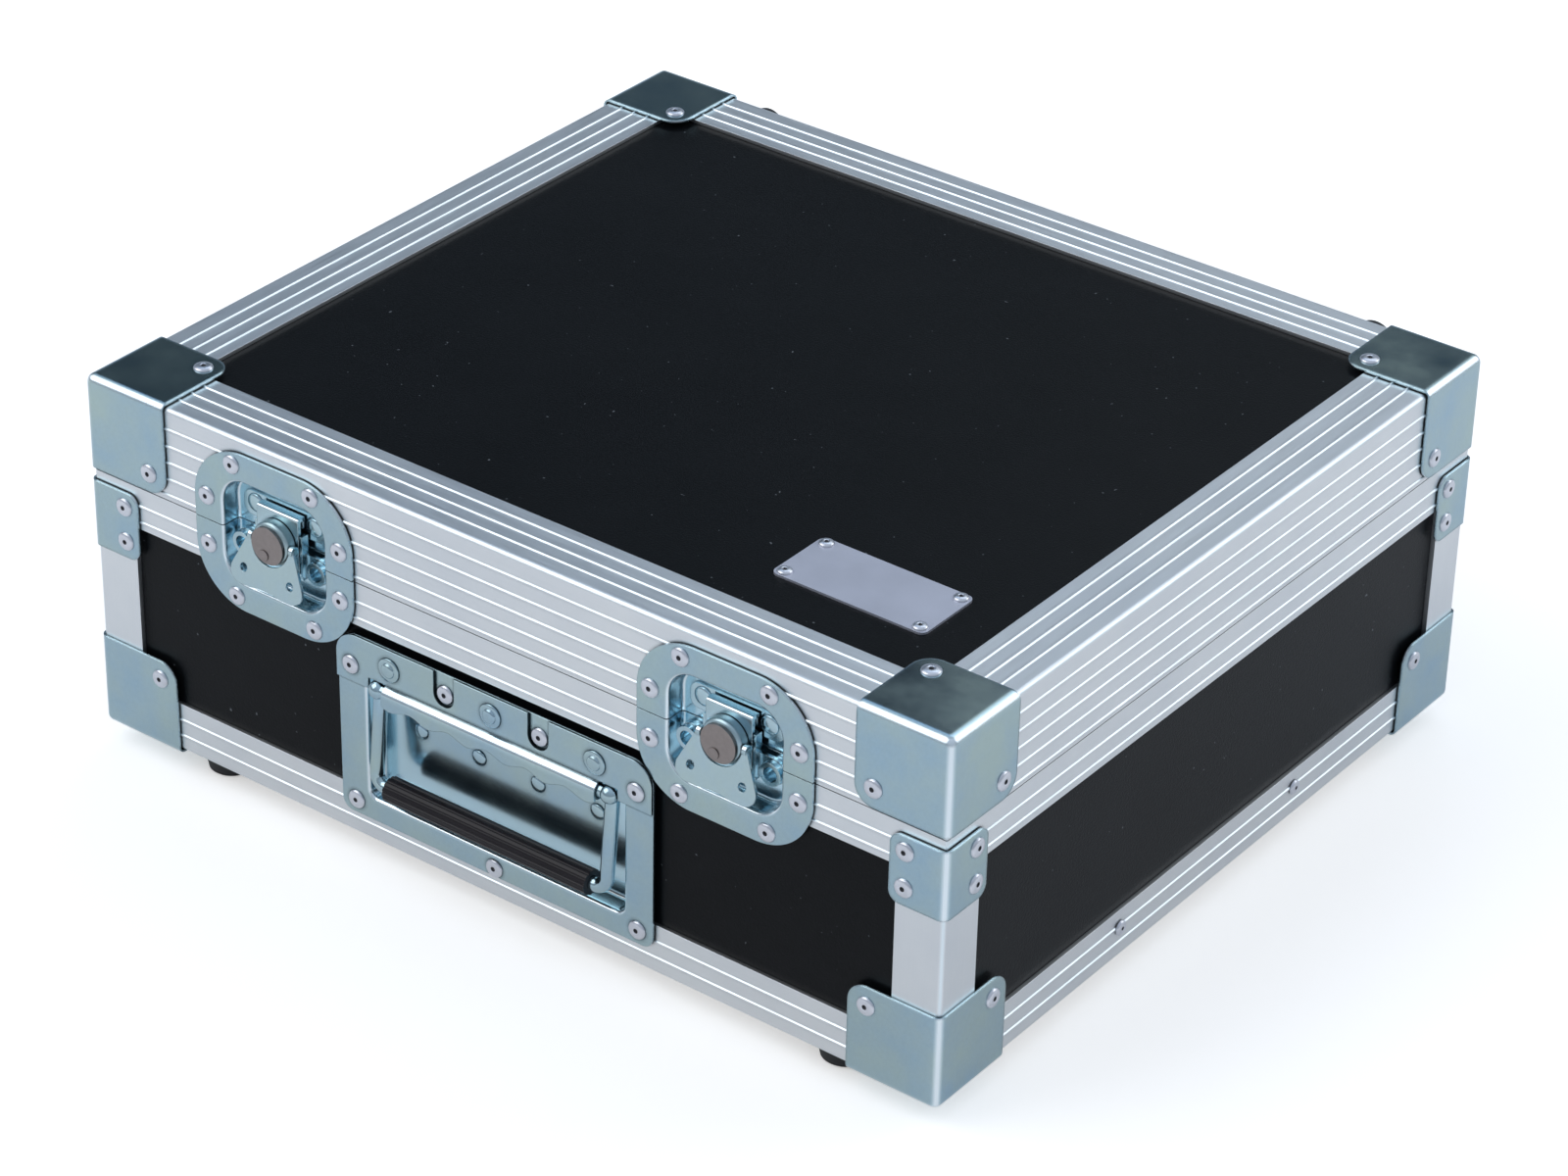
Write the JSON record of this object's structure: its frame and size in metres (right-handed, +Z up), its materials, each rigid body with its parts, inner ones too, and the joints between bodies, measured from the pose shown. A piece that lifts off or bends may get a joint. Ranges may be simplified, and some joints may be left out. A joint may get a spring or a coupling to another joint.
{
  "type": "camera accessory case",
  "caption": "Aluminium-edged hard case for camera gear with a hinged lid, recessed turn latches, a recessed swing handle, steel corners, rubber feet and pocketed foam.",
  "frame": {"origin": "on the surface that the bottom feet stand on, under the middle of the overall size", "axes": "+X to the right along the front, +Y from the front to the hinged back, +Z up"},
  "size_m": [0.43, 0.388, 0.1749],
  "materials": {
    "aluminium": "anodised satin",
    "zinc_steel": "bright zinc plate",
    "dark_steel": "brown-grey",
    "rivet_aluminium": "dull",
    "badge": "bare satin",
    "laminate": "plywood faced with black textured laminate",
    "foam": "open foam",
    "rubber": "matte black",
    "grip_plastic": "black, ribbed lengthwise"
  },
  "bodies": {
    "base": {"panel_bottom": "laminate", "panel_front": "laminate", "panel_right": "laminate", "panel_back": "laminate", "panel_left": "laminate", "rim_extrusion_front": "aluminium", "rim_extrusion_right": "aluminium", "rim_extrusion_back": "aluminium", "rim_extrusion_left": "aluminium", "lower_extrusion_front": "aluminium", "lower_extrusion_right": "aluminium", "lower_extrusion_back": "aluminium", "lower_extrusion_left": "aluminium", "corner_posts": "aluminium", "base_corner_front_left": "zinc_steel", "base_corner_front_right": "zinc_steel", "base_corner_back_left": "zinc_steel", "base_corner_back_right": "zinc_steel", "corner_braces": "zinc_steel", "base_foam": "foam", "handle_dish": "zinc_steel", "handle_hinge_plate": "zinc_steel", "handle_rivets": "rivet_aluminium", "left_latch_lower_dish": "zinc_steel", "right_latch_lower_dish": "zinc_steel", "left_latch_mechanism_plate": "zinc_steel", "right_latch_mechanism_plate": "zinc_steel", "base_rivets": "rivet_aluminium", "base_feet": "rubber", "left_hinge_base_leaf": "zinc_steel", "right_hinge_base_leaf": "zinc_steel", "hinge_pins": "zinc_steel"},
    "lid": {"lid_panel": "laminate", "lid_extrusion_front": "aluminium", "lid_extrusion_right": "aluminium", "lid_extrusion_back": "aluminium", "lid_extrusion_left": "aluminium", "lid_corner_front_left": "zinc_steel", "lid_corner_front_right": "zinc_steel", "lid_corner_back_left": "zinc_steel", "lid_corner_back_right": "zinc_steel", "lid_foam": "foam", "left_latch_upper_dish": "zinc_steel", "right_latch_upper_dish": "zinc_steel", "left_latch_keeper": "zinc_steel", "right_latch_keeper": "zinc_steel", "badge_plate": "badge", "lid_rivets": "rivet_aluminium", "lid_back_feet": "rubber", "left_hinge_lid_leaf": "zinc_steel", "right_hinge_lid_leaf": "zinc_steel"},
    "handle": {"handle_bail": "zinc_steel", "handle_grip": "grip_plastic"},
    "left_spindle": {"left_latch_spindle": "dark_steel"},
    "left_wing": {"left_latch_wing": "zinc_steel"},
    "left_hook": {"left_latch_hook": "zinc_steel"},
    "right_spindle": {"right_latch_spindle": "dark_steel"},
    "right_wing": {"right_latch_wing": "zinc_steel"},
    "right_hook": {"right_latch_hook": "zinc_steel"}
  },
  "joints": [
    {"name": "lid_hinge", "type": "hinge", "parent": "base", "child": "lid", "pos_m": [0, 0.18905, 0.1296], "axis": [-1, 0, 0], "range_deg": [0, 95]},
    {"name": "handle_swing", "type": "hinge", "parent": "base", "child": "handle", "pos_m": [0, -0.18635, 0.086], "axis": [-1, 0, 0], "range_deg": [0, 85]},
    {"name": "left_latch_turn", "type": "hinge", "parent": "base", "child": "left_spindle", "pos_m": [-0.1134, -0.18615, 0.1325], "axis": [0, -1, 0], "range_deg": [0, 180]},
    {"name": "left_wing_flip", "type": "hinge", "parent": "left_spindle", "child": "left_wing", "pos_m": [-0.1134, -0.18615, 0.1325], "axis": [-1, 0, 0], "range_deg": [0, 90]},
    {"name": "left_hook_lift", "type": "slide", "parent": "base", "child": "left_hook", "axis": [0, 0, 1], "range_m": [0, 0.005]},
    {"name": "right_latch_turn", "type": "hinge", "parent": "base", "child": "right_spindle", "pos_m": [0.1114, -0.18615, 0.1325], "axis": [0, -1, 0], "range_deg": [0, 180]},
    {"name": "right_wing_flip", "type": "hinge", "parent": "right_spindle", "child": "right_wing", "pos_m": [0.1114, -0.18615, 0.1325], "axis": [-1, 0, 0], "range_deg": [0, 90]},
    {"name": "right_hook_lift", "type": "slide", "parent": "base", "child": "right_hook", "axis": [0, 0, 1], "range_m": [0, 0.005]}
  ],
  "couplings": [
    {"joint": "left_latch_turn", "follows": "left_hook_lift", "rad_per_m": 628.32},
    {"joint": "right_latch_turn", "follows": "right_hook_lift", "rad_per_m": 628.32}
  ]
}
